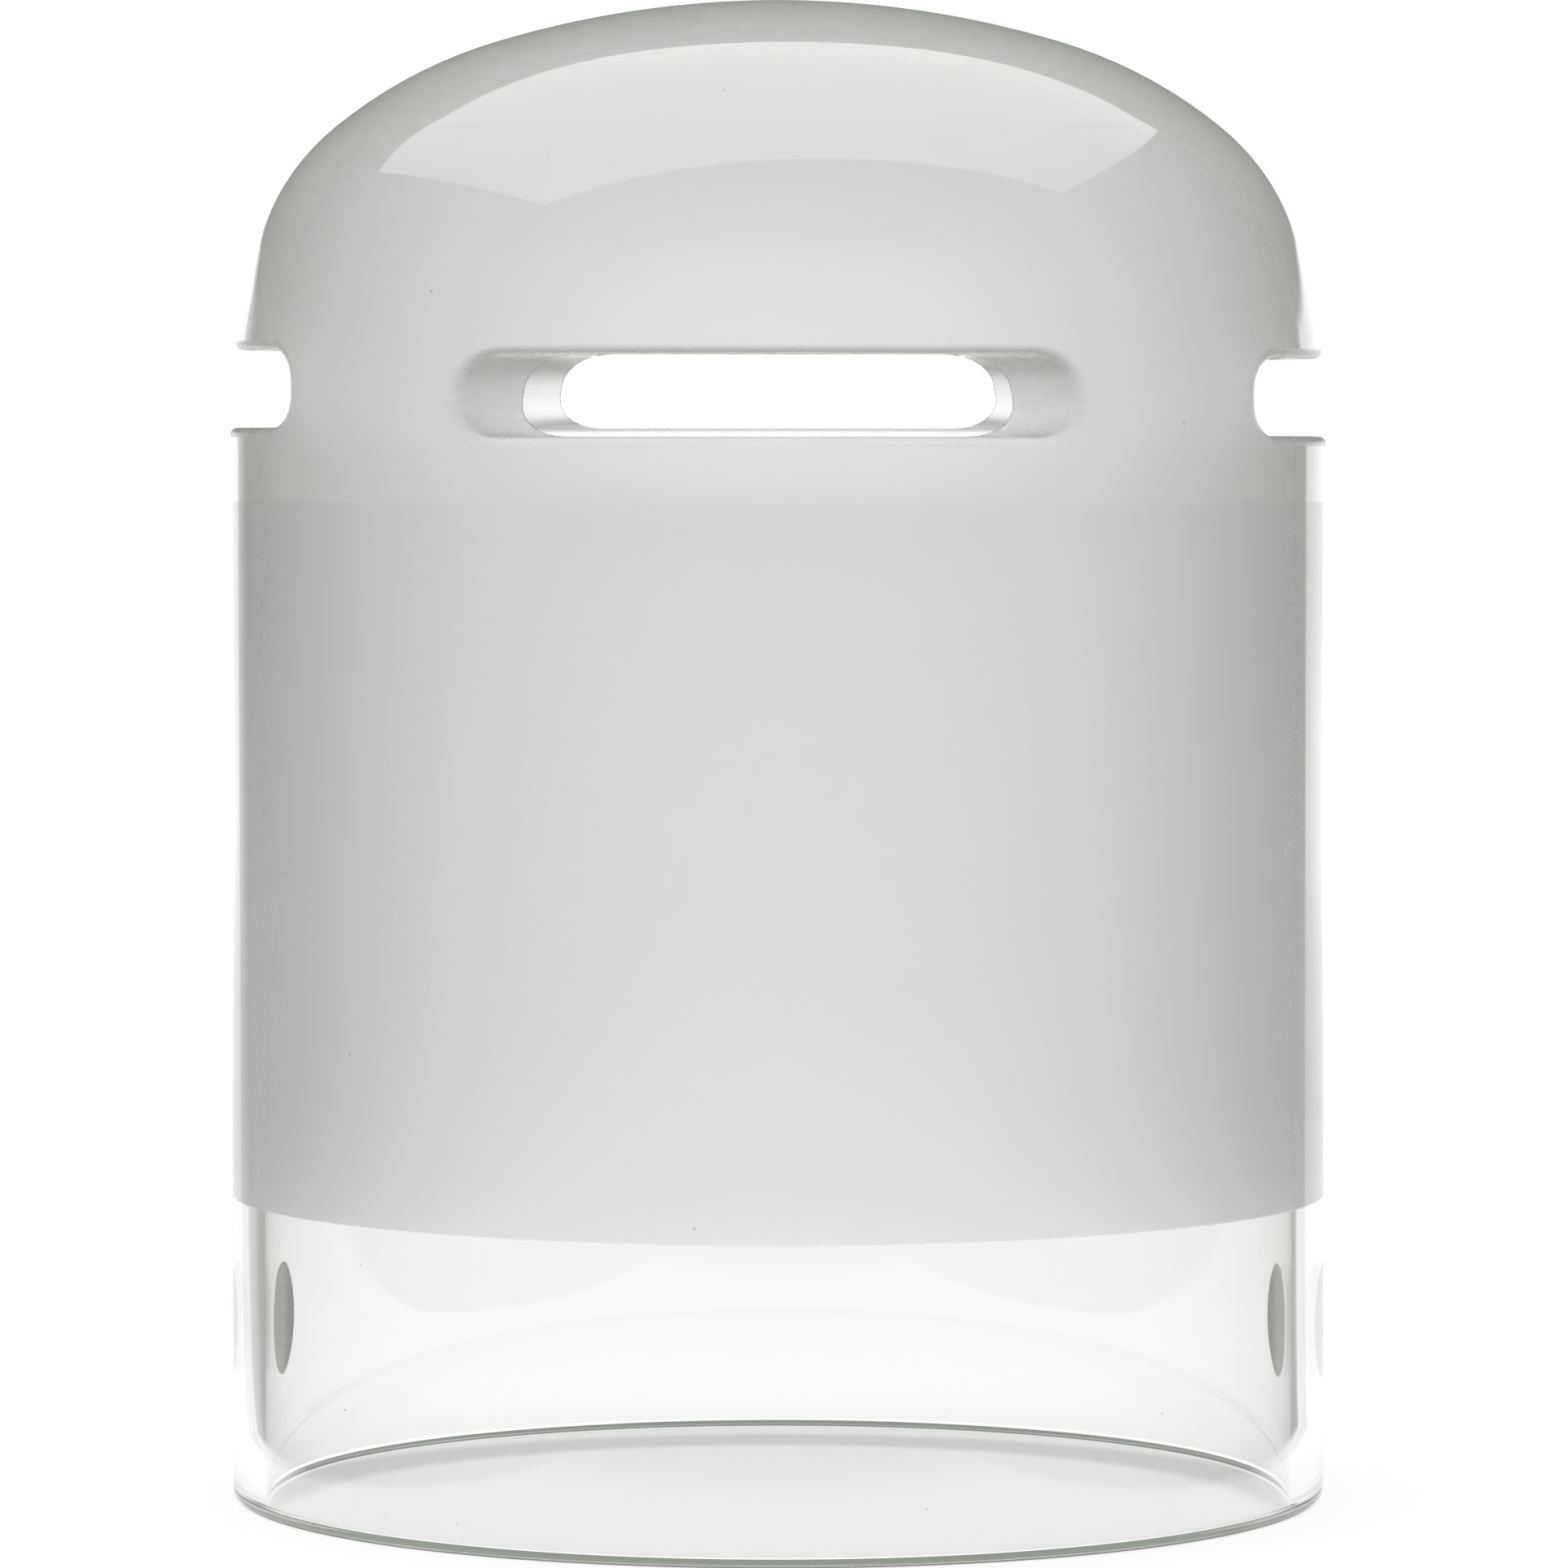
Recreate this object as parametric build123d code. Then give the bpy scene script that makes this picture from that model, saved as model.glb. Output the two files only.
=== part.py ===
"""Frosted protective glass dome for a studio flash head.

A closed dome on a straight borosilicate tube, open at the bottom, standing on its ground mouth.
Millimetres, +Z up. The origin is the centre of the mouth plane and +Z is the axis of the tube.
The front vent groove faces -Y.
"""

from build123d import *
import os
from math import cos, radians, sin

# Tube and dome
TUBE_RADIUS = 37.5  # 75 mm tube
WALL = 2.2
DOME_HEIGHT = 102.3  # mouth plane to crown, outside
# Outside radii of the crown, the haunch and the shoulder, each with the angle from the axis at
# which it hands over to the next. A last, long arc eases the shoulder into the straight tube.
DOME_ARCS = ((66.8, 17.0), (31.8, 39.2), (16.5, 75.3))

# Mouth: the cut edge is ground flat and its two corners are fire-polished round
MOUTH_OUTER_ROUND = 0.5
MOUTH_INNER_ROUND = 0.6

# Vent grooves, ground straight across the shoulder, nearly at right angles to each other, each a
# little higher or deeper than the next. Turn from the front: axis to floor, height of the middle.
GROOVES = {0: (31.5, 75.3), 90: (31.9, 75.2), 181.25: (31.5, 75.75), 270: (31.9, 75.8)}
GROOVE_WIDTH = 5.3
GROOVE_CORNER_DEEP = 1.4  # the floor corners are quarter ellipses, this far in radially
GROOVE_CORNER_TALL = 2.2
GROOVE_LIP_ROUND = 0.6
GROOVE_REACH = 45.0  # beyond the outer wall, for the cutter

# Retaining dimples, one each side just behind the middle, ground into the outer wall
DIMPLE_TURN = 96.0  # from the front groove, to the left and to the right
DIMPLE_HEIGHT = 11.4
DIMPLE_DIAMETER = 7.8
DIMPLE_DEPTH = 0.5
DIMPLE_BALL_RADIUS = 30.0  # crown of the round cutter that grinds them
DIMPLE_REACH = 2.0  # length of the cutter each way from the wall

# Diffusing frost: the etched skin of the inner wall, flush with the clear wall below it
FROST_THICKNESS = 0.15
FROST_LOWER_EDGE = 20.6

TOLERANCE = 0.01  # for finding edges by their place
BELOW_MOUTH = -1.0  # height where a cutter that goes through the mouth ends


def arc_point(centre, radius, angle):
    """Point on an arc in the XZ plane, at an angle from the axis."""
    return (centre[0] + radius * sin(angle), centre[1] + radius * cos(angle))


def dome_profile(inset):
    """Three points for each arc of the outline, moved in by inset, from the crown to the tube."""
    pieces = []
    last_radius, last_angle = DOME_ARCS[0][0], 0.0
    centre = (0.0, DOME_HEIGHT - last_radius)
    for radius, end_degrees in DOME_ARCS:
        step = last_radius - radius
        centre = arc_point(centre, step, last_angle)
        end_angle = radians(end_degrees)
        angles = (last_angle, (last_angle + end_angle) / 2, end_angle)
        pieces.append([arc_point(centre, radius - inset, angle) for angle in angles])
        last_radius, last_angle = radius, end_angle
    shoulder_radius = centre[0] + last_radius * sin(last_angle)
    ease_radius = (TUBE_RADIUS - shoulder_radius) / (1 - sin(last_angle))
    centre = arc_point(centre, last_radius - ease_radius, last_angle)
    angles = (last_angle, (last_angle + radians(90)) / 2, radians(90))
    pieces.append([arc_point(centre, ease_radius - inset, angle) for angle in angles])
    return pieces


def revolved_cup(inset, bottom):
    """Solid inside the dome's outline, moved in by inset and cut off flat at the bottom height."""
    with BuildPart() as cup:
        with BuildSketch(Plane.XZ):
            with BuildLine():
                arcs = dome_profile(inset)
                for points in arcs:
                    ThreePointArc(*points)
                tube = TUBE_RADIUS - inset
                Polyline(arcs[-1][-1], (tube, bottom), (0, bottom), arcs[0][0])
            make_face()
        revolve(axis=Axis.Z)
    return cup.part


def groove_cutter(turn, floor, mid_height):
    """Straight bar with the groove's section: a flat floor with elliptical corners."""
    half = GROOVE_WIDTH / 2
    deep, tall = GROOVE_CORNER_DEEP, GROOVE_CORNER_TALL
    with BuildPart() as bar:
        with BuildSketch(Plane.YZ):
            with BuildLine():
                corner = (-floor - deep, half - tall)
                EllipticalCenterArc(corner, deep, tall, start_angle=0, arc_size=90)
                Polyline(
                    (-floor - deep, half),
                    (-GROOVE_REACH, half),
                    (-GROOVE_REACH, -half),
                    (-floor - deep, -half),
                )
                corner = (-floor - deep, tall - half)
                EllipticalCenterArc(corner, deep, tall, start_angle=270, arc_size=90)
                Line((-floor, tall - half), (-floor, half - tall))
            make_face()
        extrude(amount=GROOVE_REACH, both=True)
    return bar.part.moved(Location((0, 0, mid_height), (0, 0, turn)))


def groove_cutters():
    return [groove_cutter(turn, *place) for turn, place in GROOVES.items()]


def dimple_cutter(turn):
    """Round cutter with a slightly crowned end."""
    ball_place = TUBE_RADIUS - DIMPLE_DEPTH + DIMPLE_BALL_RADIUS
    ball = Pos(ball_place, 0, 0) * Sphere(DIMPLE_BALL_RADIUS)
    bar = Pos(TUBE_RADIUS, 0, 0) * Rot(0, 90, 0) * Cylinder(DIMPLE_DIAMETER / 2, 2 * DIMPLE_REACH)
    return Location((0, 0, DIMPLE_HEIGHT), (0, 0, turn - 90)) * (ball & bar)


def is_mouth_edge(edge, radius):
    box = edge.bounding_box()
    return abs(box.max.Z) < TOLERANCE and abs(box.max.X - radius) < TOLERANCE


def is_groove_lip(edge):
    """True for the edges where a groove meets the outer face of the wall."""
    middle = edge @ 0.5
    heights = [height for _, height in GROOVES.values()]
    lowest, highest = min(heights) - GROOVE_WIDTH / 2, max(heights) + GROOVE_WIDTH / 2
    if not lowest - TOLERANCE < middle.Z < highest + TOLERANCE:
        return False
    return Vector(middle.X, middle.Y).length > TUBE_RADIUS - WALL / 2


def make_glass():
    """The clear glass, without its frosted skin."""
    inner_radius = TUBE_RADIUS - WALL
    glass = revolved_cup(0, 0) - revolved_cup(WALL, BELOW_MOUTH)
    outer = [edge for edge in glass.edges() if is_mouth_edge(edge, TUBE_RADIUS)]
    glass = fillet(outer, MOUTH_OUTER_ROUND)
    inner = [edge for edge in glass.edges() if is_mouth_edge(edge, inner_radius)]
    glass = fillet(inner, MOUTH_INNER_ROUND)
    for cutter in groove_cutters():
        glass -= cutter
    glass = fillet([edge for edge in glass.edges() if is_groove_lip(edge)], GROOVE_LIP_ROUND)
    for turn in (-DIMPLE_TURN, DIMPLE_TURN):
        glass -= dimple_cutter(turn)
    return glass - revolved_cup(WALL - FROST_THICKNESS, FROST_LOWER_EDGE)


def make_frost():
    """The frosted skin of the inner wall, cut through by the grooves like the glass."""
    frost = revolved_cup(WALL - FROST_THICKNESS, FROST_LOWER_EDGE) - revolved_cup(WALL, 0)
    for cutter in groove_cutters():
        frost -= cutter
    return frost


os.makedirs("parts", exist_ok=True)
export_step(make_glass().solid(), "parts/glass_envelope.step")
export_step(make_frost().solid(), "parts/frost_coat.step")
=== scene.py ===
"""Frosted glass dome of a studio flash head: looks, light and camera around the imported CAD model."""
from math import atan2, cos, pi, radians, sin

import bmesh
import bpy
import numpy as np
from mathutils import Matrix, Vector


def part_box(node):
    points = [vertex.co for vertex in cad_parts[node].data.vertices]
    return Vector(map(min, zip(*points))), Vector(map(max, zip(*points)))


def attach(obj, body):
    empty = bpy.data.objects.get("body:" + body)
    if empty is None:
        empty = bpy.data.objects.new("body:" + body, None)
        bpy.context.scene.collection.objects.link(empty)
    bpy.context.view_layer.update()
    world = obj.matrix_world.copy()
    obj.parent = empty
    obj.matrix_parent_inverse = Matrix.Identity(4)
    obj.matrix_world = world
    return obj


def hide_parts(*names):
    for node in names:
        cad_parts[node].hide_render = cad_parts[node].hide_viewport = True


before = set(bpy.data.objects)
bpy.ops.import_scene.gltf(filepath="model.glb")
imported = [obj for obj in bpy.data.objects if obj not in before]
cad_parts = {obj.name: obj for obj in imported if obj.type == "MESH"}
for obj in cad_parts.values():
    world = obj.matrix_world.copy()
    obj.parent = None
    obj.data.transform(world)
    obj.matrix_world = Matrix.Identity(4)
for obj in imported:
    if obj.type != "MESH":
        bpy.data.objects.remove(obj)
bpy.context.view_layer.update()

# ---------------------------------------------------------------- driving dimensions
# The glass, in millimetres, as in the CAD model. +Z is up and the front groove faces -Y.
MM = 0.001
glass_low, glass_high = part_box("glass_envelope")
TUBE_RADIUS = (glass_high[0] - glass_low[0]) / 2 / MM
DOME_HEIGHT = glass_high[2] / MM
WALL = 2.2
DOME_ARCS = ((66.8, 17.0), (31.8, 39.2), (16.5, 75.3))  # radius, angle from the axis at its end
MOUTH_OUTER_ROUND = 0.5
MOUTH_INNER_ROUND = 0.6
GROOVE_HALF = 2.65
# Axis to floor and height of the middle: front, right, back and left groove
GROOVES = ((31.5, 75.3), (31.9, 75.2), (31.5, 75.75), (31.9, 75.8))
GROOVE_TURNS = (0.0, 90.0, 181.25, 270.0)
CORNER_DEEP = 1.4  # the floor corners are quarter ellipses
CORNER_TALL = 2.2
OUTER_LIP = 0.6  # rounded edges of the grooves
INNER_LIP = 0.12
DIMPLE_TURN = 96.0
DIMPLE_HEIGHT = 11.4
DIMPLE_RADIUS = 3.9
DIMPLE_BALL = 30.0  # ground with a crown this round
DIMPLE_DEPTH = 0.5
DIMPLE_EDGE = 0.1  # width of its crisp edge
FROST_EDGE = 20.6

# Mesh fineness
GROOVE_COLUMNS = 64
POST_COLUMNS = 40
CORNER_ROWS = 7
FLOOR_ROWS = 2
ARC_ROWS = (9, 9, 10, 12)  # crown, haunch, shoulder, ease
LIP_STEPS = 5
COARSE_ROW = 3.0
FINE_ROW = 0.55
SUPPORT = 0.06  # narrow strips beside a rounded edge keep the flats flat
RIM_ROWS = 3  # between the fine rows around the dimples and the mouth
BAND_GAP = 1.0  # the bore's last row stays this far below the grooves
DIMPLE_RINGS = 7
DIMPLE_REACH = 12  # rings until the mesh is regular again
POLISHED, FROSTED, GROUND, DIMPLED = range(4)  # finishes, in the order of the material slots

# Finishes
GLASS_IOR = 1.47
CLEAR_TINT = (1.0, 1.0, 1.0, 1)
THICK_TINT = (0.81, 0.82, 0.80, 1)  # colour of glass this thick, squared
THICK_LENGTH = 10.0
FROST_TINT = (0.895, 0.885, 0.893, 1)
FROST_DARK = (0.885, 0.875, 0.883, 1)  # its cloudy variation goes down to this
FROST_ROUGHNESS = 0.55
FROST_GRAIN = 0.06  # how much the roughness varies from grain to grain
NOISE_DETAIL = 2.0
GRAIN_SIZE = 0.12
GRAIN_DEPTH = 0.002
CLOUD_SIZE = 9.0
CLOUD_WEIGHT = 2.0  # of the clouds against the grain in the frost's variation
FROST_FEATHER = 0.12  # half width of the speckled edge of the frost
GROUND_TINT = (1.0, 1.0, 1.0, 1)
GROUND_ROUGHNESS = (0.26, 0.31)
DIMPLE_PAINTED_SHADE = (0.01, 0.012, 0.008, 1)  # painted shade: the ground glass is painted nearly black, so that they also show nearly edge-on
SCRATCH_STRETCH = (0.25, 0.25, 1.0)  # ground level, so they are long across
SCRATCH_SIZE = 0.25
SCRATCH_CONTRAST = (0.3, 0.7)  # values of the noise between smooth and rough
SCRATCH_DEPTH = 0.0003
DRAW_STRETCH = (1.0, 1.0, 0.1)  # drawn along the axis
DRAW_SIZE = 4.0
DRAW_DEPTH = 0.002
SPECK_TINT = (0.35, 0.36, 0.34, 1)
SPECK_CELL = 4.5  # spacing of the dust specks
SPECK_RADIUS = 0.11
SPECK_CORE = 0.6  # share of the radius with the full tint

# Surroundings, in metres, degrees and radiance. Turns go from straight behind (+Y) to the right.
BACKDROP = 1.14
BACKDROP_FLANKS = 1.65  # it is brighter away from its middle
FLANK_START = (4.0, 19.0)
BACKDROP_LEFT = (-35.0, -25.0)  # where it fades in, then steps up at its edge
BACKDROP_EDGE = (-25.4, -24.4)
BACKDROP_FADE = 0.5  # strength of the fade beside the edge
BACKDROP_RIGHT = (32.0, 35.0)  # where it fades out
BACKDROP_TOP = (4.5, 6.0)
DIM_LIGHT = (0.24, 0.26, 0.23, 1)
UPPER_LIGHT = (0.28, 0.30, 0.27, 1)
UPPER_START = (20.0, 45.0)
SIDE_LIGHT = (0.53, 0.575, 0.51, 1)
SIDE_START = (40.0, 75.0)
SIDE_TOP = (45.0, 80.0)
FLOOR_RADIUS = 6.0
FLOOR_CORNERS = 96
FLOOR_GAP = 0.0001
TABLE_PAINT = 0.35
TABLE_DIM_GLOW = 0.03  # outside the pool of light that is painted on the table as glow

# The pool of light, in metres on the table
POOL_GLOW = (0.71, 0.62)  # near its front and behind the object
POOL_LENGTH = (-0.04, 0.16)
POOL_FAR_GLOW = 0.55  # added towards the backdrop
POOL_FAR = (0.2, 1.0)
POOL_SPREAD = 0.1  # it widens towards the back
POOL_SIDE = (0.055, 0.058)
POOL_FRONT = (-0.09, -0.05)
POOL_CORNERS = (-0.0476, 0.040)  # where its far left and far right edges meet its sides
RIM_MIDDLE = (TUBE_RADIUS - WALL / 2) * MM
RIM_SHADE = 0.15  # of the glow is left under the standing rim
RIM_SHADE_EDGE = (0.0005, 0.0008)
RIM_SHADOW = 0.3  # of the glow that the back rim keeps off the table in front of it
RIM_SHADOW_SHIFT = 0.0085
RIM_SHADOW_EDGE = (0.0015, 0.0045)
GLASS_SHADE = 0.88  # of the glow is left within the glass
GLASS_SHADE_EDGE = (0.0350, 0.0353)

# Softbox
SOFTBOX_SIZE = (2.3, 1.6)
SOFTBOX_PLACE = (-0.10, 0.42, 1.2)
SOFTBOX_TURN = 11.0
SOFTBOX_RADIANCE = 1.58
SOFTBOX_COLOR = (1.0, 0.99, 0.98)

# Camera, in metres and degrees, its lens in millimetres on the usual 36 mm wide film
CAMERA_DISTANCE = 0.5456
CAMERA_HEIGHT = 0.0743
CAMERA_TURN = 1.25
CAMERA_PITCH = 2.687
CAMERA_YAW = -0.0426
CAMERA_LENS = 182.52
CLIP_START = 0.01

# Light paths: clear and frosted walls stand behind each other, so light needs many bounces
GLASS_BOUNCES = 32
GLOSS_BOUNCES = 16
MATT_BOUNCES = 4


# ---------------------------------------------------------------- the glass mesh
def outline_arcs():
    """Centre radius, centre height, radius and end angle of each arc, from the crown to the tube."""
    radius, angle = DOME_ARCS[0][0], 0.0
    across, up = 0.0, DOME_HEIGHT - radius
    arcs = []
    for next_radius, end in DOME_ARCS:
        across += (radius - next_radius) * sin(angle)
        up += (radius - next_radius) * cos(angle)
        radius, angle = next_radius, radians(end)
        arcs.append((across, up, radius, angle))
    ease = (TUBE_RADIUS - across - radius * sin(angle)) / (1 - sin(angle))
    across += (radius - ease) * sin(angle)
    up += (radius - ease) * cos(angle)
    arcs.append((across, up, ease, pi / 2))
    return arcs


ARCS = outline_arcs()


def radius_at(height, inset):
    """Radius of the wall at heights on the tube and on the ease arc above it."""
    across, up, ease, _ = ARCS[-1]
    above = np.maximum(height - up, 0.0)
    return across + np.sqrt((ease - inset) ** 2 - above**2)


def slope_at(height, inset):
    """Angle from the axis of the wall's normal at those heights."""
    _, up, ease, _ = ARCS[-1]
    return np.arccos(np.maximum(height - up, 0.0) / (ease - inset))


def polar(radius, turn, height):
    """Points at a radius, at a turn from the front to the right, at a height."""
    radius, turn, height = np.broadcast_arrays(radius, turn, height)
    return np.stack([radius * np.sin(turn), -radius * np.cos(turn), height], axis=-1)


class Shell:
    """Points, normals and faces, added ring by ring."""

    def __init__(self):
        self.points, self.normals, self.faces, self.finishes = [], [], [], []
        self.count = 0
        self.finish = POLISHED

    def add(self, points, normals):
        """Add one row of points and return their numbers."""
        normals = normals / np.linalg.norm(normals, axis=-1, keepdims=True)
        self.points.append(points)
        self.normals.append(normals)
        self.count += len(points)
        return np.arange(self.count - len(points), self.count)

    def strip(self, first, second, closed=True, finish=None):
        """Quads between two rows of the same length, all of one finish or each of its own."""
        a, b = np.asarray(first), np.asarray(second)
        if closed:
            a, b = np.append(a, a[0]), np.append(b, b[0])
        self.faces += np.stack([a[:-1], a[1:], b[1:], b[:-1]], axis=1).tolist()
        self.finishes += [self.finish] * (len(a) - 1) if finish is None else finish.tolist()

    def cap(self, ring, centre):
        """A fan that closes a ring at the crown."""
        after = np.roll(ring, -1)
        self.faces += [[int(p), int(q), int(centre)] for p, q in zip(ring, after)]
        self.finishes += [self.finish] * len(ring)


def groove_turn(number):
    """Turn of a groove's middle from the front. The groove after the last is the first again."""
    rounds, index = divmod(number, len(GROOVES))
    return 2 * pi * rounds + radians(GROOVE_TURNS[index])


def groove_side(groove, inset):
    """Turn from the groove's middle and height down one end of a groove, where it cuts the wall."""
    floor, mid_height = groove
    straight = GROOVE_HALF - CORNER_TALL
    bend = np.linspace(pi / 2, 0, CORNER_ROWS + 1)
    above = straight + CORNER_TALL * np.sin(bend)
    out = floor + CORNER_DEEP * (1 - np.cos(bend))
    middle = np.linspace(straight, -straight, FLOOR_ROWS + 1)[1:-1]
    above = np.concatenate([above, middle, -above[::-1]])
    out = np.concatenate([out, np.full(len(middle), floor), out[::-1]])
    height = mid_height + above
    return np.arccos(out / radius_at(height, inset)), height


def moved_out(turn, height, inset, lip):
    """The same line, moved away from the groove along the wall by the width of its lip."""
    across = turn * radius_at(height, inset)
    along = np.stack([np.gradient(across), np.gradient(height)], axis=1)
    along /= np.linalg.norm(along, axis=1, keepdims=True)
    away = np.stack([-along[:, 1], along[:, 0]], axis=1)
    away[0], away[-1] = (0, 1), (0, -1)
    height = height + lip * away[:, 1]
    return (across + lip * away[:, 0]) / radius_at(height, inset), height


def lathe_rows(shell, turns, inset, side):
    """Rows of the dome from the groove band up to the crown, with its pole."""
    rows = []
    start = np.arccos((band_top(inset) - ARCS[-1][1]) / (ARCS[-1][2] - inset))
    limits = [0.0] + [arc[3] for arc in ARCS[:-1]] + [start]
    for number in reversed(range(len(ARCS))):
        across, up, radius, _ = ARCS[number]
        angles = np.linspace(limits[number + 1], limits[number], ARC_ROWS[number] + 1)[1:]
        for angle in angles:
            reach = across + (radius - inset) * sin(angle)
            height = up + (radius - inset) * cos(angle)
            normal = side * polar(sin(angle), turns, cos(angle))
            if angle > 0:
                rows.append(shell.add(polar(reach, turns, height), normal))
            else:
                pole = shell.add(np.array([[0, 0, height]]), np.array([[0, 0, side]]))
    for lower, upper in zip(rows, rows[1:]):
        shell.strip(lower, upper)
    shell.cap(rows[-1], pole[0])
    return rows[0]


def band_top(inset):
    return max(mid for _, mid in GROOVES) + GROOVE_HALF + (INNER_LIP if inset else OUTER_LIP)


def band_bottom(lip):
    return min(mid for _, mid in GROOVES) - GROOVE_HALF - lip


def wall_points(turn, height, inset, side):
    """Points and normals of the wall around the grooves and below them."""
    slope = slope_at(height, inset)
    normals = side * polar(np.sin(slope), turn, np.cos(slope))
    return polar(radius_at(height, inset), turn, height), normals


def groove_band(shell, inset, side):
    """The wall between the grooves: its top and bottom rings, their turns, and each groove's edge."""
    lip = INNER_LIP if inset else OUTER_LIP
    ends = [moved_out(*groove_side(groove, inset), inset, lip) for groove in GROOVES]
    last = len(ends[0][0]) - 1
    quarters = len(ends)
    posts = {}
    rings, ring_turns = {}, {}
    for row in (0, last):
        turns, heights = [], []
        for g, (turn, height) in enumerate(ends):
            middle = groove_turn(g)
            after = ends[(g + 1) % quarters]
            following = groove_turn(g + 1) - after[0][row]
            turns.append(middle + np.linspace(-turn[row], turn[row], GROOVE_COLUMNS + 1)[:-1])
            turns.append(np.linspace(middle + turn[row], following, POST_COLUMNS + 1)[:-1])
            heights.append(np.full(GROOVE_COLUMNS, height[row]))
            heights.append(np.linspace(height[row], after[1][row], POST_COLUMNS + 1)[:-1])
        turns = np.concatenate(turns)
        rings[row] = shell.add(*wall_points(turns, np.concatenate(heights), inset, side))
        ring_turns[row] = turns
    period = GROOVE_COLUMNS + POST_COLUMNS
    for g in range(quarters):
        after = ends[(g + 1) % quarters]
        for row in range(last + 1):
            if row in rings:
                columns = np.arange(g * period + GROOVE_COLUMNS, (g + 1) * period + 1)
                posts[g, row] = rings[row][columns % len(rings[row])]
                continue
            share = np.linspace(0, 1, POST_COLUMNS + 1)
            first = groove_turn(g) + ends[g][0][row]
            second = groove_turn(g + 1) - after[0][row]
            height = ends[g][1][row] * (1 - share) + after[1][row] * share
            turn = first * (1 - share) + second * share
            posts[g, row] = shell.add(*wall_points(turn, height, inset, side))
        for row in range(last):
            shell.strip(posts[g, row], posts[g, row + 1], closed=False)
    edges = []
    for g in range(quarters):
        columns = np.arange(g * period, g * period + GROOVE_COLUMNS + 1)
        right = [posts[g, row][0] for row in range(1, last)]
        left = [posts[(g - 1) % quarters, row][-1] for row in range(last - 1, 0, -1)]
        edges.append(np.concatenate([rings[0][columns], right, rings[last][columns[::-1]], left]))
    return rings[0], rings[last], ring_turns[0], ring_turns[last], edges


def sharp_edge(groove, inset):
    """Turns and heights round a groove where it would cut the wall without its lip."""
    turn, height = groove_side(groove, inset)
    top = np.linspace(-turn[0], turn[0], GROOVE_COLUMNS + 1)
    bottom = np.linspace(turn[-1], -turn[-1], GROOVE_COLUMNS + 1)
    turns = np.concatenate([top, turn[1:-1], bottom, -turn[-2:0:-1]])
    heights = np.concatenate(
        [np.full(len(top), height[0]), height[1:-1], np.full(len(top), height[-1]), height[-2:0:-1]]
    )
    return turns, heights


def unit(vectors):
    return vectors / np.linalg.norm(vectors, axis=1, keepdims=True)


def groove_wall(shell, number, outer, inner):
    """The ground faces of one groove, from its rounded outer lip to its inner edge."""
    middle = groove_turn(number)
    corners = []
    for inset in (0.0, WALL):
        turn, height = sharp_edge(GROOVES[number], inset)
        corners.append(polar(radius_at(height, inset), middle + turn, height))
    outer_corner, inner_corner = corners
    inward = unit(inner_corner - outer_corner)
    along = unit(np.roll(outer_corner, -1, axis=0) - np.roll(outer_corner, 1, axis=0))
    facing = unit(np.cross(inward, along))
    centre = polar(TUBE_RADIUS, middle, GROOVES[number][1])
    facing *= np.sign(np.sum(facing * (centre - outer_corner), axis=1, keepdims=True))
    points, normals = np.concatenate(shell.points), np.concatenate(shell.normals)
    start, finish = points[outer], points[inner]
    wall_start = outer_corner + inward * OUTER_LIP
    wall_finish = inner_corner - inward * INNER_LIP
    rows = [outer]
    for share in np.linspace(0, 1, LIP_STEPS + 1)[1:]:
        rest = 1 - share
        place = rest**2 * start + 2 * share * rest * outer_corner + share**2 * wall_start
        rows.append(shell.add(place, rest * normals[outer] + share * facing))
    for share in (0.5, 1.0):
        rows.append(shell.add((1 - share) * wall_start + share * wall_finish, facing))
    place = wall_finish / 4 + inner_corner / 2 + finish / 4
    rows.append(shell.add(place, facing + normals[inner]))
    rows.append(inner)
    for first, second in zip(rows, rows[1:]):
        shell.strip(first, second)


def press_dimple(turns, heights, turn):
    """Draw the grid of the outer tube into rings around a dimple. Returns which points are in it."""
    row = int(np.argmin(abs(heights[:, 0] - DIMPLE_HEIGHT)))
    column = int(np.argmin(abs((turns[row] - turn + pi) % (2 * pi) - pi)))
    inside = np.zeros(turns.shape, bool)
    for i in range(-DIMPLE_REACH, DIMPLE_REACH + 1):
        for j in range(-DIMPLE_REACH, DIMPLE_REACH + 1):
            ring = max(abs(i), abs(j))
            r, c = row + i, (column + j) % turns.shape[1]
            spin = atan2(-i, j)
            away = (turns[r, c] - turn + pi) % (2 * pi) - pi
            across, up = away * TUBE_RADIUS, heights[r, c] - DIMPLE_HEIGHT
            reach = min(ring / DIMPLE_RINGS, 1.0) * DIMPLE_RADIUS
            if ring > DIMPLE_RINGS:
                reach += DIMPLE_EDGE
            share = max(0.0, (ring - DIMPLE_RINGS - 1) / (DIMPLE_REACH - DIMPLE_RINGS - 1))
            turns[r, c] = turn + ((1 - share) * reach * cos(spin) + share * across) / TUBE_RADIUS
            heights[r, c] = DIMPLE_HEIGHT + (1 - share) * reach * sin(spin) + share * up
            inside[r, c] = ring <= DIMPLE_RINGS
    return inside


def dimple_points(turns, heights, turn):
    """Points and normals on the ball that ground the dimple."""
    middle = TUBE_RADIUS - DIMPLE_DEPTH + DIMPLE_BALL
    away, up = turns - turn, heights - DIMPLE_HEIGHT
    radii = middle * np.cos(away) - np.sqrt(DIMPLE_BALL**2 - up**2 - (middle * np.sin(away)) ** 2)
    points = polar(radii, turns, heights)
    return points, polar(middle, turn, DIMPLE_HEIGHT) - points


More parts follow.
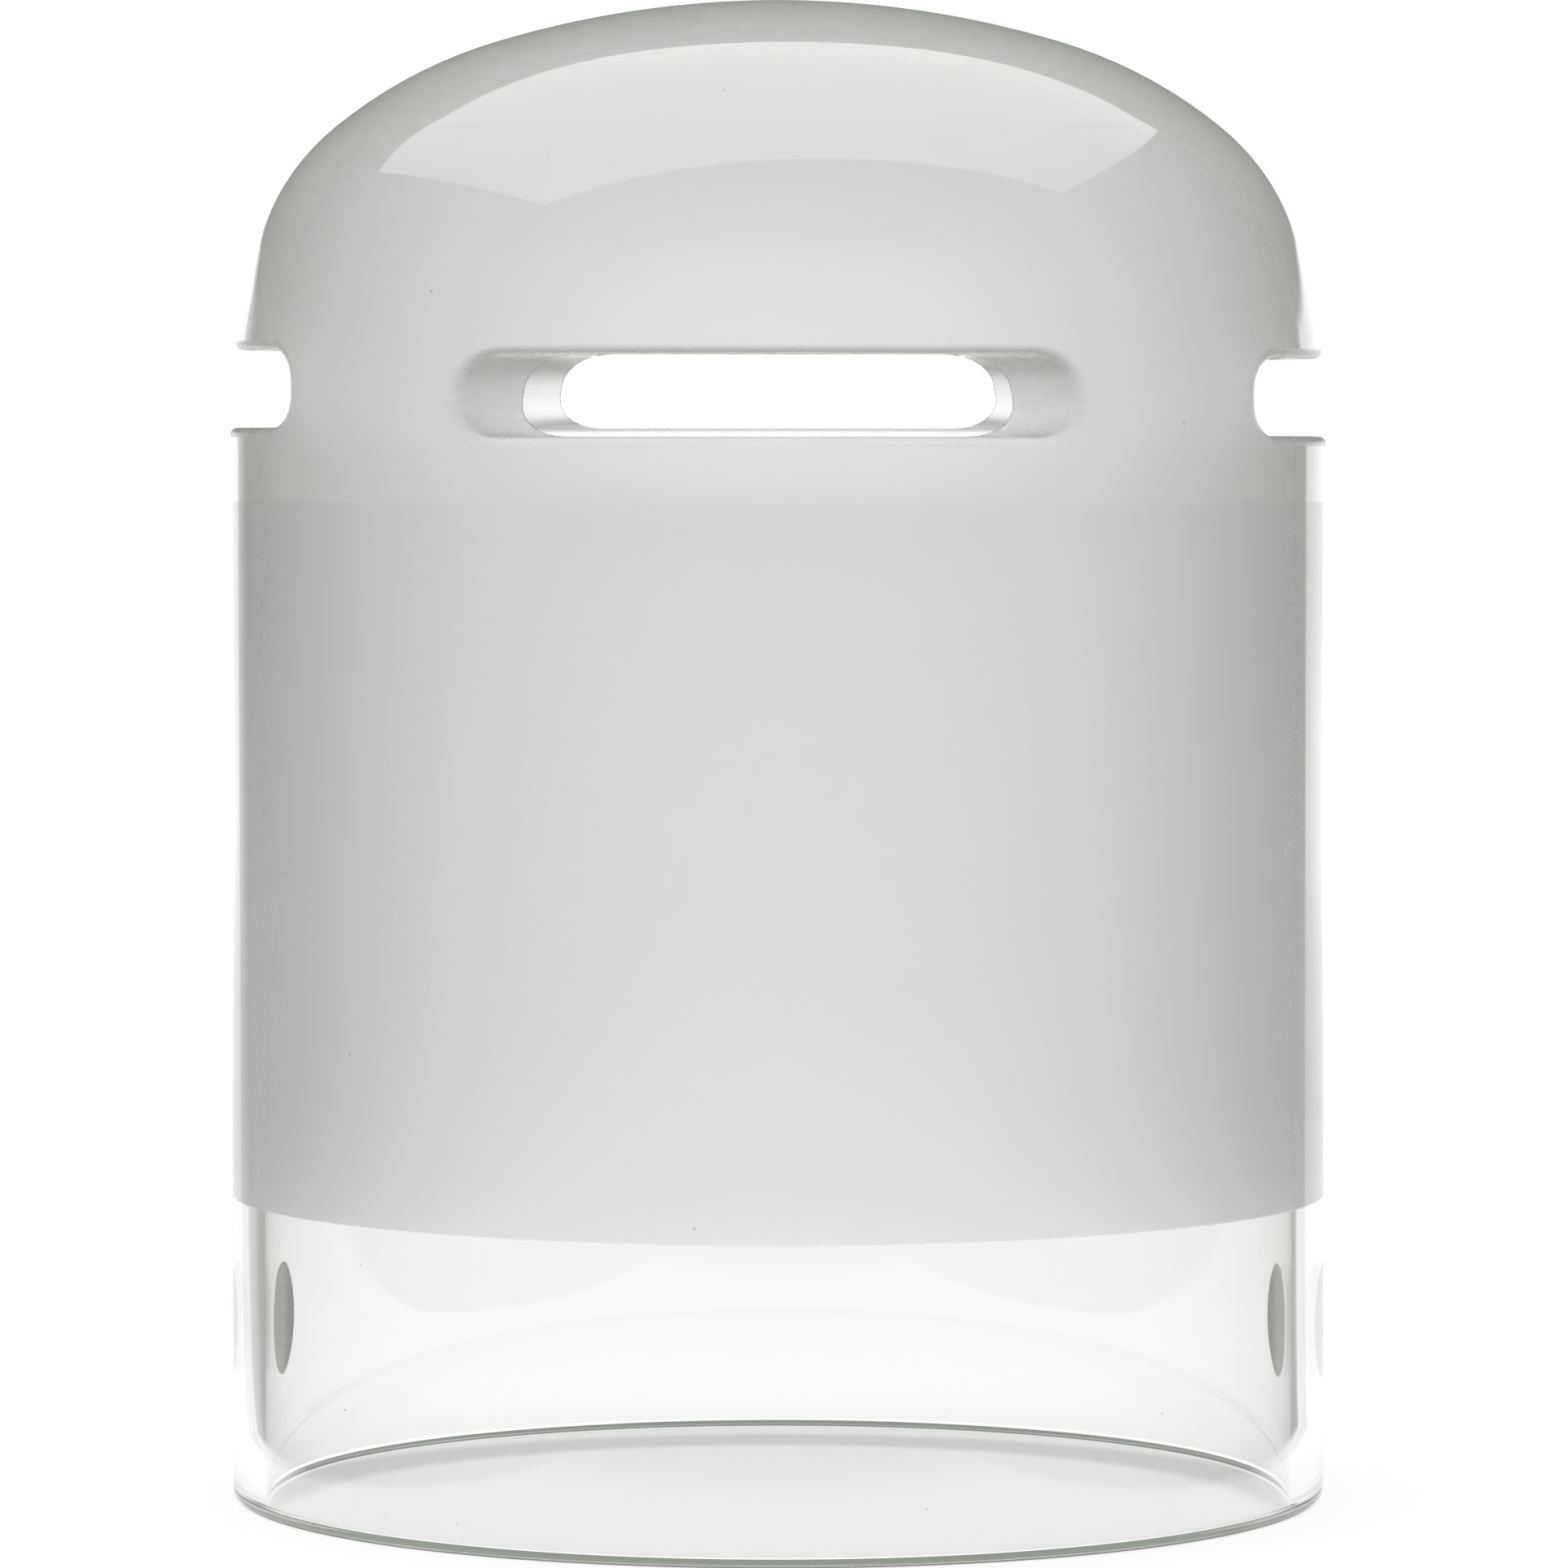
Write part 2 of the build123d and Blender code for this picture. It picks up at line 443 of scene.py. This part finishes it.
def outer_tube(shell, ring, turns):
    """The tube's outside, down to the mouth, with its two dimples."""
    top = band_bottom(OUTER_LIP)
    reach = (DIMPLE_REACH + 1) * FINE_ROW
    fine = np.arange(DIMPLE_HEIGHT + reach, DIMPLE_HEIGHT - reach, -FINE_ROW)
    above = np.linspace(top, fine[0], int((top - fine[0]) / COARSE_ROW) + 1)[1:-1]
    below = np.linspace(fine[-1], MOUTH_OUTER_ROUND + SUPPORT, RIM_ROWS + 1)[1:]
    levels = np.concatenate([above, fine, below])
    heights = np.repeat(levels[:, None], len(turns), axis=1)
    turns = np.repeat(turns[None, :], len(levels), axis=0)
    places = [side * radians(DIMPLE_TURN) for side in (1, -1)]
    masks = [press_dimple(turns, heights, place) for place in places]
    points, normals = polar(TUBE_RADIUS, turns, heights), polar(1.0, turns, 0.0)
    for place, mask in zip(places, masks):
        points[mask], normals[mask] = dimple_points(turns[mask], heights[mask], place)
    rows = [ring] + [shell.add(*row) for row in zip(points, normals)]
    shell.strip(rows[0], rows[1])
    pressed = masks[0] | masks[1]
    for level in range(len(levels) - 1):
        both = pressed[level] & pressed[level + 1]
        finish = np.where(both & np.roll(both, -1), DIMPLED, POLISHED)
        shell.strip(rows[level + 1], rows[level + 2], finish=finish)
    return rows[-1], turns[-1]


def mouth(shell, ring, turns):
    """The flat mouth between its two fire-polished corners."""
    outer, inner = TUBE_RADIUS, TUBE_RADIUS - WALL
    profile = []
    for angle in np.linspace(0, pi / 2, LIP_STEPS + 1):
        across = outer - MOUTH_OUTER_ROUND * (1 - cos(angle))
        profile.append((across, MOUTH_OUTER_ROUND * (1 - sin(angle)), angle))
    profile.append((outer - MOUTH_OUTER_ROUND - SUPPORT, 0.0, pi / 2))
    profile.append((inner + MOUTH_INNER_ROUND + SUPPORT, 0.0, pi / 2))
    for angle in np.linspace(pi / 2, pi, LIP_STEPS + 1):
        across = inner + MOUTH_INNER_ROUND * (1 + cos(angle))
        profile.append((across, MOUTH_INNER_ROUND * (1 - sin(angle)), angle))
    rows = [ring]
    for across, height, angle in profile:
        rows.append(shell.add(polar(across, turns, height), polar(cos(angle), turns, -sin(angle))))
    for first, second in zip(rows, rows[1:]):
        shell.strip(first, second)
    return rows[-1]


def inner_tube(shell, ring, mouth_turns, top_ring, top_turns):
    """The bore, from the mouth up to the grooves."""
    top = band_bottom(INNER_LIP)
    bottom = MOUTH_INNER_ROUND
    coarse = np.arange(bottom + COARSE_ROW, top - BAND_GAP, COARSE_ROW)
    levels = np.concatenate([[bottom + SUPPORT], coarse])
    rows = [ring]
    for level in levels:
        share = (level - bottom) / (top - bottom)
        turns = mouth_turns * (1 - share) + top_turns * share
        rows.append(shell.add(*wall_points(turns, np.full(len(turns), level), WALL, -1)))
    rows.append(top_ring)
    for lower, upper in zip(rows, rows[1:]):
        shell.strip(lower, upper)


def glass_body(materials):
    """The whole envelope as one closed mesh in metres, with exact normals and a finish per face."""
    shell = Shell()
    top, bottom, top_turns, bottom_turns, outer_edges = groove_band(shell, 0.0, 1)
    shell.strip(top, lathe_rows(shell, top_turns, 0.0, 1))
    low, low_turns = outer_tube(shell, bottom, bottom_turns)
    lip = mouth(shell, low, low_turns)
    shell.finish = FROSTED
    top, bottom, top_turns, bottom_turns, inner_edges = groove_band(shell, WALL, -1)
    shell.strip(top, lathe_rows(shell, top_turns, WALL, -1))
    inner_tube(shell, lip, low_turns, bottom, bottom_turns)
    shell.finish = GROUND
    for number, (outer, inner) in enumerate(zip(outer_edges, inner_edges)):
        groove_wall(shell, number, outer, inner)
    mesh = bpy.data.meshes.new("glass_body")
    mesh.from_pydata((np.concatenate(shell.points) * MM).tolist(), [], shell.faces)
    for material in materials:
        mesh.materials.append(material)
    mesh.polygons.foreach_set("material_index", shell.finishes)
    work = bmesh.new()
    work.from_mesh(mesh)
    bmesh.ops.recalc_face_normals(work, faces=work.faces)
    work.to_mesh(mesh)
    work.free()
    mesh.shade_smooth()
    mesh.normals_split_custom_set_from_vertices(np.concatenate(shell.normals).tolist())
    body = bpy.data.objects.new("glass_body", mesh)
    bpy.context.scene.collection.objects.link(body)
    return body


# ---------------------------------------------------------------- materials
class Nodes:
    """Short spellings for building a node tree."""

    def __init__(self, tree):
        self.tree = tree
        tree.nodes.clear()

    def add(self, kind, inputs=None, **settings):
        node = self.tree.nodes.new(kind)
        for name, value in settings.items():
            setattr(node, name, value)
        for name, value in (inputs or {}).items():
            self.feed(node.inputs[name], value)
        return node

    def feed(self, socket, value):
        if isinstance(value, bpy.types.NodeSocket):
            self.tree.links.new(value, socket)
        else:
            socket.default_value = value

    def math(self, operation, *values):
        node = self.add("ShaderNodeMath", operation=operation)
        for socket, value in zip(node.inputs, values):
            self.feed(socket, value)
        return node.outputs[0]

    def vector(self, operation, *values):
        node = self.add("ShaderNodeVectorMath", operation=operation)
        for socket, value in zip(node.inputs, values):
            self.feed(socket, value)
        return node.outputs["Value" if operation == "LENGTH" else "Vector"]

    def ramp(self, value, start, end, low=0.0, high=1.0):
        """A smooth step of value from low at start to high at end."""
        node = self.add("ShaderNodeMapRange", interpolation_type="SMOOTHSTEP")
        for name, number in (("Value", value), ("From Min", start), ("From Max", end)):
            self.feed(node.inputs[name], number)
        self.feed(node.inputs["To Min"], low)
        self.feed(node.inputs["To Max"], high)
        return node.outputs[0]

    def turn_ramp(self, turn, limits, low=0.0, high=1.0):
        """The same for an angle, with its limits in degrees."""
        start, end = limits
        return self.ramp(turn, radians(start), radians(end), low, high)

    def mix(self, share, first, second, blend="MIX"):
        node = self.add("ShaderNodeMix", data_type="RGBA", blend_type=blend)
        for number, value in ((0, share), (6, first), (7, second)):
            self.feed(node.inputs[number], value)
        return node.outputs[2]


def grey(value):
    return (value, value, value, 1)


def new_material(name):
    material = bpy.data.materials.new(name)
    material.use_nodes = True
    return material, Nodes(material.node_tree)


def glass_shader(nodes, color, roughness):
    shader = nodes.add("ShaderNodeBsdfPrincipled")
    shader.inputs["IOR"].default_value = GLASS_IOR
    shader.inputs["Transmission Weight"].default_value = 1.0
    nodes.feed(shader.inputs["Base Color"], color)
    nodes.feed(shader.inputs["Roughness"], roughness)
    out = nodes.add("ShaderNodeOutputMaterial")
    nodes.tree.links.new(shader.outputs[0], out.inputs["Surface"])
    return shader


def position(nodes):
    return nodes.add("ShaderNodeNewGeometry").outputs["Position"]


def noise(nodes, place, size):
    """Cloudy noise around 0.5 with features of a size in millimetres."""
    settings = {"Vector": place, "Scale": 1 / (size * MM), "Detail": NOISE_DETAIL}
    return nodes.add("ShaderNodeTexNoise", settings).outputs[0]


def dusted(nodes, color):
    """The colour with sparse dust specks: small balls scattered in space, cut by the surface."""
    cells = {"Vector": position(nodes), "Scale": 1 / (SPECK_CELL * MM)}
    distance = nodes.add("ShaderNodeTexVoronoi", cells).outputs["Distance"]
    edge = SPECK_RADIUS / SPECK_CELL
    return nodes.mix(nodes.ramp(distance, edge, SPECK_CORE * edge), color, SPECK_TINT)


def thickened(nodes, color):
    """The colour, deeper where light leaves the glass after a long way through it."""
    length = nodes.add("ShaderNodeLightPath").outputs["Ray Length"]
    leaving = nodes.add("ShaderNodeNewGeometry").outputs["Backfacing"]
    way = nodes.math("MULTIPLY", length, leaving)
    power = nodes.math("MULTIPLY", way, 1 / (THICK_LENGTH * MM))
    left_over = nodes.add("ShaderNodeGamma", {"Color": THICK_TINT, "Gamma": power}).outputs[0]
    return nodes.mix(1.0, color, left_over, blend="MULTIPLY")


def bumped(nodes, shader, height, depth):
    """Give the shader a relief, this deep in millimetres."""
    bump = nodes.add("ShaderNodeBump", {"Height": height, "Distance": depth * MM, "Strength": 1.0})
    nodes.feed(shader.inputs["Normal"], bump.outputs[0])


def polished_glass():
    """Fire-polished tube: faintly drawn along its axis, with a little dust."""
    material, nodes = new_material("polished_glass")
    shader = glass_shader(nodes, thickened(nodes, dusted(nodes, CLEAR_TINT)), 0.0)
    along = nodes.vector("MULTIPLY", position(nodes), DRAW_STRETCH)
    bumped(nodes, shader, noise(nodes, along, DRAW_SIZE), DRAW_DEPTH)
    return material


def frosted_glass():
    """The inner wall: etched above the frost's lower edge and clear below it."""
    material, nodes = new_material("frosted_inner_wall")
    place = position(nodes)
    height = nodes.add("ShaderNodeSeparateXYZ", {"Vector": place}).outputs["Z"]
    grain = noise(nodes, place, GRAIN_SIZE)
    wander = nodes.math("MULTIPLY_ADD", grain, 2 * FROST_FEATHER * MM, height)
    edge = (FROST_EDGE + FROST_FEATHER) * MM
    mask = nodes.ramp(wander, edge - FROST_FEATHER * MM, edge + FROST_FEATHER * MM)
    clouds = nodes.math("MULTIPLY_ADD", noise(nodes, place, CLOUD_SIZE), CLOUD_WEIGHT, grain)
    middle = (CLOUD_WEIGHT + 1) / 2
    frost = nodes.mix(nodes.ramp(clouds, middle - 0.5, middle + 0.5), FROST_DARK, FROST_TINT)
    etched = nodes.math("MULTIPLY_ADD", grain, FROST_GRAIN, FROST_ROUGHNESS)
    color = thickened(nodes, nodes.mix(mask, CLEAR_TINT, frost))
    shader = glass_shader(nodes, color, nodes.math("MULTIPLY", mask, etched))
    bumped(nodes, shader, nodes.math("MULTIPLY", mask, grain), GRAIN_DEPTH)
    return material


def ground_glass(name, tint):
    """Ground faces, with fine level scratches."""
    material, nodes = new_material(name)
    across = nodes.vector("MULTIPLY", position(nodes), SCRATCH_STRETCH)
    scratches = noise(nodes, across, SCRATCH_SIZE)
    shader = glass_shader(nodes, tint, nodes.ramp(scratches, *SCRATCH_CONTRAST, *GROUND_ROUGHNESS))
    bumped(nodes, shader, scratches, SCRATCH_DEPTH)
    return material


# ---------------------------------------------------------------- floor, light and camera
def turn_from(nodes, xyz, start=0.0):
    """Turn from +Y to +X of a direction, or of a place seen from a start on the X axis."""
    return nodes.math("ARCTAN2", nodes.math("SUBTRACT", xyz.outputs["X"], start), xyz.outputs["Y"])


def backdrop_mask(nodes, left_turn, right_turn):
    """1 towards the backdrop, 0 to its sides, for turns from +Y to +X."""
    fade = nodes.turn_ramp(left_turn, BACKDROP_LEFT, 0.0, BACKDROP_FADE)
    step = nodes.turn_ramp(left_turn, BACKDROP_EDGE, 0.0, 1 - BACKDROP_FADE)
    left = nodes.math("ADD", fade, step)
    return nodes.math("MULTIPLY", left, nodes.turn_ramp(right_turn, BACKDROP_RIGHT, 1.0, 0.0))


def pool_shape(nodes, xyz):
    """1 in the pool of light, 0 outside: a strip around the object that opens to the backdrop."""
    behind = backdrop_mask(nodes, *[turn_from(nodes, xyz, corner) for corner in POOL_CORNERS])
    aside = nodes.math("ABSOLUTE", xyz.outputs["X"])
    spread = nodes.math("MULTIPLY_ADD", xyz.outputs["Y"], -POOL_SPREAD, aside)
    strip = nodes.ramp(spread, *POOL_SIDE, 1.0, 0.0)
    front = nodes.ramp(xyz.outputs["Y"], *POOL_FRONT)
    return nodes.math("MULTIPLY", nodes.math("MAXIMUM", strip, behind), front)


def rim_distance(nodes, place):
    """How far places are from the middle of the rim."""
    away = nodes.vector("LENGTH", place)
    return nodes.math("ABSOLUTE", nodes.math("SUBTRACT", away, RIM_MIDDLE))


def glass_shades(nodes, place, away):
    """Share of the glow that the glass leaves: little under its rim, most of it within."""
    contact = nodes.ramp(rim_distance(nodes, place), *RIM_SHADE_EDGE, RIM_SHADE, 1.0)
    moved = nodes.vector("ADD", place, (0.0, RIM_SHADOW_SHIFT, 0.0))
    darkest = GLASS_SHADE * (1 - RIM_SHADOW)
    shadow = nodes.ramp(rim_distance(nodes, moved), *RIM_SHADOW_EDGE, darkest, GLASS_SHADE)
    outside = nodes.ramp(away, *GLASS_SHADE_EDGE)
    return nodes.math("MULTIPLY", contact, nodes.math("MAXIMUM", shadow, outside))


def floor_material():
    """A pale matt table whose glow is painted light, brightest around the object and towards the
    backdrop.
    """
    material, nodes = new_material("table")
    place = position(nodes)
    xyz = nodes.add("ShaderNodeSeparateXYZ", {"Vector": place})
    away = nodes.vector("LENGTH", place)
    near = nodes.ramp(xyz.outputs["Y"], *POOL_LENGTH, *POOL_GLOW)
    pool = nodes.math("ADD", near, nodes.ramp(away, *POOL_FAR, 0.0, POOL_FAR_GLOW))
    pool = nodes.math("MULTIPLY", pool, glass_shades(nodes, place, away))
    strength = nodes.math("MULTIPLY_ADD", pool_shape(nodes, xyz), pool, TABLE_DIM_GLOW)
    glow = nodes.add("ShaderNodeEmission", {"Strength": strength})
    paint = nodes.add("ShaderNodeBsdfDiffuse", {"Color": grey(TABLE_PAINT)})
    # the glow is painted light: a painted pool of light, with painted shade under and within the glass
    matt = nodes.add("ShaderNodeAddShader", {0: glow.outputs[0], 1: paint.outputs[0]})
    nodes.add("ShaderNodeOutputMaterial", {"Surface": matt.outputs[0]})
    return material


def make_floor():
    bpy.ops.mesh.primitive_circle_add(
        vertices=FLOOR_CORNERS, radius=FLOOR_RADIUS, fill_type="TRIFAN"
    )
    floor = bpy.context.object
    floor.name = "table"
    floor.location.z = -FLOOR_GAP
    floor.data.materials.append(floor_material())


def make_world():
    """A bright backdrop behind, dim above it, and softly lit to the sides."""
    world = bpy.data.worlds.new("studio")
    bpy.context.scene.world = world
    world.use_nodes = True
    nodes = Nodes(world.node_tree)
    place = nodes.add("ShaderNodeTexCoord").outputs["Generated"]
    xyz = nodes.add("ShaderNodeSeparateXYZ", {"Vector": place})
    turn = turn_from(nodes, xyz)
    rise = nodes.math("ARCSINE", xyz.outputs["Z"])
    aside = nodes.math("ABSOLUTE", turn)
    low = nodes.turn_ramp(rise, BACKDROP_TOP, 1.0, 0.0)
    mask = nodes.math("MULTIPLY", backdrop_mask(nodes, turn, turn), low)
    sink = nodes.turn_ramp(rise, SIDE_TOP, 1.0, 0.0)
    side = nodes.math("MULTIPLY", nodes.turn_ramp(aside, SIDE_START), sink)
    upper = nodes.mix(nodes.turn_ramp(rise, UPPER_START), DIM_LIGHT, UPPER_LIGHT)
    room = nodes.mix(side, upper, SIDE_LIGHT)
    flanks = nodes.turn_ramp(aside, FLANK_START)
    color = nodes.mix(mask, room, nodes.mix(flanks, grey(BACKDROP), grey(BACKDROP_FLANKS)))
    sky = nodes.add("ShaderNodeBackground", {"Color": color, "Strength": 1.0})
    nodes.add("ShaderNodeOutputWorld", {"Surface": sky.outputs[0]})


def make_softbox():
    width, depth = SOFTBOX_SIZE
    light = bpy.data.lights.new("softbox", "AREA")
    light.shape = "RECTANGLE"
    light.size, light.size_y = width, depth
    light.energy = SOFTBOX_RADIANCE * pi * width * depth
    light.color = SOFTBOX_COLOR
    lamp = bpy.data.objects.new("softbox", light)
    lamp.location = SOFTBOX_PLACE
    lamp.rotation_euler.z = radians(SOFTBOX_TURN)
    bpy.context.scene.collection.objects.link(lamp)


def make_camera():
    turn = radians(CAMERA_TURN)
    data = bpy.data.cameras.new("camera")
    camera = bpy.data.objects.new("camera", data)
    camera.location = (CAMERA_DISTANCE * sin(turn), -CAMERA_DISTANCE * cos(turn), CAMERA_HEIGHT)
    camera.rotation_euler = (pi / 2 - radians(CAMERA_PITCH), 0, turn + radians(CAMERA_YAW))
    data.lens = CAMERA_LENS
    data.clip_start = CLIP_START
    bpy.context.scene.collection.objects.link(camera)
    bpy.context.scene.camera = camera


def set_light_paths():
    """Plain tones, and enough bounces for the glass."""
    scene = bpy.context.scene
    scene.view_settings.view_transform = "Standard"
    scene.cycles.max_bounces = GLASS_BOUNCES
    scene.cycles.transmission_bounces = GLASS_BOUNCES
    scene.cycles.glossy_bounces = GLOSS_BOUNCES
    scene.cycles.diffuse_bounces = MATT_BOUNCES
    scene.cycles.sample_clamp_indirect = 0


grooves = ground_glass("ground_groove_faces", GROUND_TINT)
# painted shade: the dimples' ground glass is painted nearly black
dimples = ground_glass("ground_dimples_painted_shade", DIMPLE_PAINTED_SHADE)
glass = glass_body([polished_glass(), frosted_glass(), grooves, dimples])
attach(glass, "root")
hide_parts("glass_envelope", "frost_coat")
make_floor()
make_world()
make_softbox()
make_camera()
set_light_paths()
